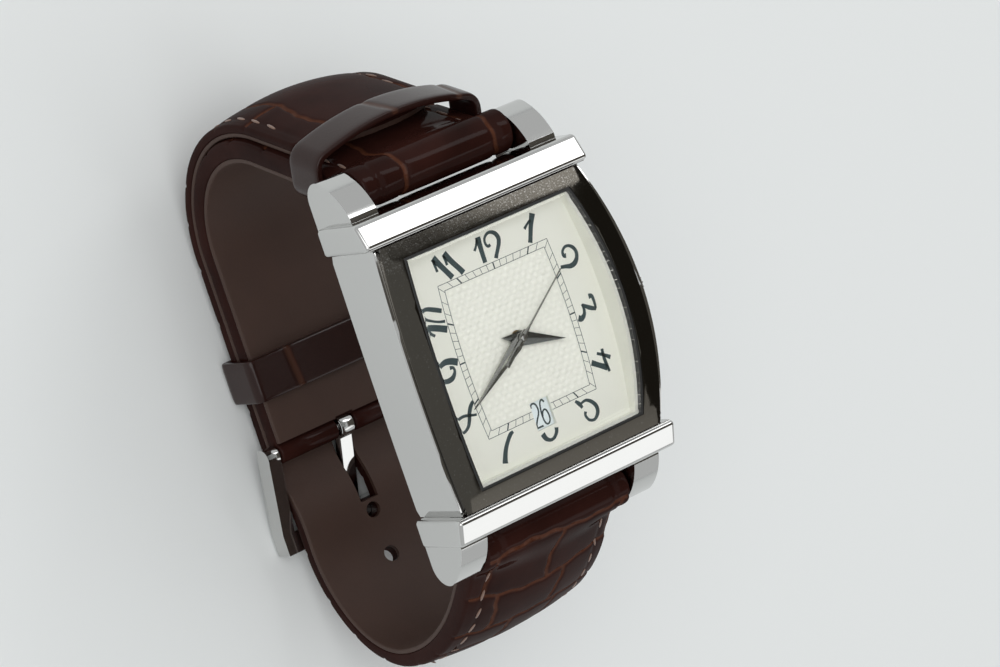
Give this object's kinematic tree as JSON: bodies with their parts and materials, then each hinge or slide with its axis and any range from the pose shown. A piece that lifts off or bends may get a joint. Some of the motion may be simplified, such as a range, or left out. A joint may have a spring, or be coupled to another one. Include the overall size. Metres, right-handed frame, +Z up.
{
  "type": "rectangular wristwatch",
  "caption": "Rectangular wristwatch with bowed sides, arched crystal, date window and a padded leather strap closed by a pin buckle.",
  "frame": {"origin": "on the table, under the middle of the case, at the middle of the fixed keeper's outer face", "axes": "+X towards three o'clock and the crown, +Y towards twelve o'clock, +Z up, out of the dial"},
  "size_m": [0.0357, 0.0699, 0.0515],
  "materials": {
    "polished_steel": "mirror polish",
    "dark_steel": "mirror polish, reflecting dark surroundings",
    "crystal": "clear, polished",
    "rubber": "matte",
    "cream_paint": "satin cream",
    "hand_grey": "glossy dark grey",
    "brass": "satin",
    "white_print": "matte white",
    "holder_plastic": "matte",
    "magnet": "satin",
    "soft_iron": "stamped",
    "copper": "lacquered wire",
    "satin_steel": "satin",
    "circuit": "solder resist",
    "leather": "glossy crocodile grain",
    "felt": "pressed felt",
    "lining": "smooth, matte",
    "thread": "waxed thread"
  },
  "bodies": {
    "case": {"case_middle": "polished_steel", "end_bar_12": "polished_steel", "end_bar_6": "polished_steel", "bezel": "dark_steel", "crystal": "crystal", "crystal_gasket": "rubber", "inner_flange": "cream_paint", "dial": "cream_paint", "main_plate": "brass", "movement_holder": "holder_plastic", "stator": "soft_iron", "coil": "copper", "train_bridge": "satin_steel", "bridge_screws": "satin_steel", "battery": "satin_steel", "battery_clamp": "brass", "circuit_board": "circuit", "quartz_can": "satin_steel", "crown_tube": "satin_steel", "case_back": "satin_steel", "case_back_gasket": "rubber", "case_back_screws": "satin_steel", "spring_bar_12": "satin_steel", "spring_bar_6": "satin_steel", "strap_12_leather": "leather", "strap_12_padding": "felt", "strap_12_lining": "lining", "strap_12_stitching": "thread", "strap_6_leather": "leather", "strap_6_padding": "felt", "strap_6_lining": "lining", "strap_6_stitching": "thread", "fixed_keeper": "leather", "buckle_frame": "polished_steel", "buckle_pin": "polished_steel"},
    "minute": {"minute_hand": "hand_grey", "cannon_pinion": "brass", "centre_wheel": "brass"},
    "hour": {"hour_hand": "hand_grey", "hour_wheel": "brass"},
    "seconds": {"seconds_hand": "hand_grey", "seconds_wheel": "brass"},
    "minute_wheel": {"minute_wheel": "brass"},
    "setting_wheel": {"setting_wheel": "brass"},
    "date_wheel": {"date_wheel": "brass"},
    "date_ring": {"date_ring": "white_print"},
    "third_wheel": {"third_wheel": "brass"},
    "intermediate_wheel": {"intermediate_wheel": "brass"},
    "rotor": {"rotor": "magnet"},
    "clutch": {"clutch_pinion": "satin_steel"},
    "crown": {"crown": "polished_steel", "crown_gasket": "rubber", "stem": "satin_steel"},
    "sliding_keeper": {"sliding_keeper": "leather"},
    "tang": {"buckle_tang": "polished_steel"}
  },
  "joints": [
    {"name": "minute_turn", "type": "hinge", "parent": "case", "child": "minute", "pos_m": [0, 0, 0.04656], "axis": [0, 0, 1], "continuous": true},
    {"name": "hour_turn", "type": "hinge", "parent": "case", "child": "hour", "pos_m": [0, 0, 0.04656], "axis": [0, 0, 1], "continuous": true},
    {"name": "seconds_turn", "type": "hinge", "parent": "case", "child": "seconds", "pos_m": [0, 0, 0.04656], "axis": [0, 0, 1], "continuous": true},
    {"name": "minute_wheel_turn", "type": "hinge", "parent": "case", "child": "minute_wheel", "pos_m": [0.00229, -0.00161, 0.04656], "axis": [0, 0, 1], "continuous": true},
    {"name": "setting_wheel_turn", "type": "hinge", "parent": "case", "child": "setting_wheel", "pos_m": [0.00508, 0, 0.04656], "axis": [0, 0, 1], "continuous": true},
    {"name": "date_wheel_turn", "type": "hinge", "parent": "case", "child": "date_wheel", "pos_m": [0.00093, 0.00348, 0.04656], "axis": [0, 0, 1], "continuous": true},
    {"name": "date_ring_turn", "type": "hinge", "parent": "case", "child": "date_ring", "pos_m": [0, 0, 0.04656], "axis": [0, 0, 1], "continuous": true},
    {"name": "third_wheel_turn", "type": "hinge", "parent": "case", "child": "third_wheel", "pos_m": [-0.00038, -0.00269, 0.04486], "axis": [0, 0, 1], "continuous": true},
    {"name": "intermediate_turn", "type": "hinge", "parent": "case", "child": "intermediate_wheel", "pos_m": [0.00168, 0.00168, 0.04486], "axis": [0, 0, 1], "continuous": true},
    {"name": "rotor_turn", "type": "hinge", "parent": "case", "child": "rotor", "pos_m": [0.00289, 0.00289, 0.04486], "axis": [0, 0, 1], "continuous": true},
    {"name": "crown_turn", "type": "hinge", "parent": "case", "child": "clutch", "pos_m": [0.0079, 0, 0.04576], "axis": [1, 0, 0], "continuous": true},
    {"name": "crown_pull", "type": "slide", "parent": "clutch", "child": "crown", "axis": [1, 0, 0], "range_m": [0, 0.0007]},
    {"name": "keeper_slide", "type": "slide", "parent": "case", "child": "sliding_keeper", "axis": [0, 0.309, -0.9511], "range_m": [-0.0012, 0.0085]},
    {"name": "tang_swing", "type": "hinge", "parent": "case", "child": "tang", "pos_m": [0, -0.0095, 0.0045], "axis": [1, 0, 0], "range_deg": [0, 12]}
  ],
  "couplings": [
    {"joint": "minute_turn", "follows": "seconds_turn", "ratio": 0.016667},
    {"joint": "hour_turn", "follows": "seconds_turn", "ratio": 0.0013889},
    {"joint": "minute_wheel_turn", "follows": "seconds_turn", "ratio": -0.0055556},
    {"joint": "setting_wheel_turn", "follows": "seconds_turn", "ratio": 0.010417},
    {"joint": "date_wheel_turn", "follows": "seconds_turn", "ratio": -0.00069444},
    {"joint": "third_wheel_turn", "follows": "seconds_turn", "ratio": -0.125},
    {"joint": "intermediate_turn", "follows": "seconds_turn", "ratio": -6},
    {"joint": "rotor_turn", "follows": "seconds_turn", "ratio": 30}
  ]
}
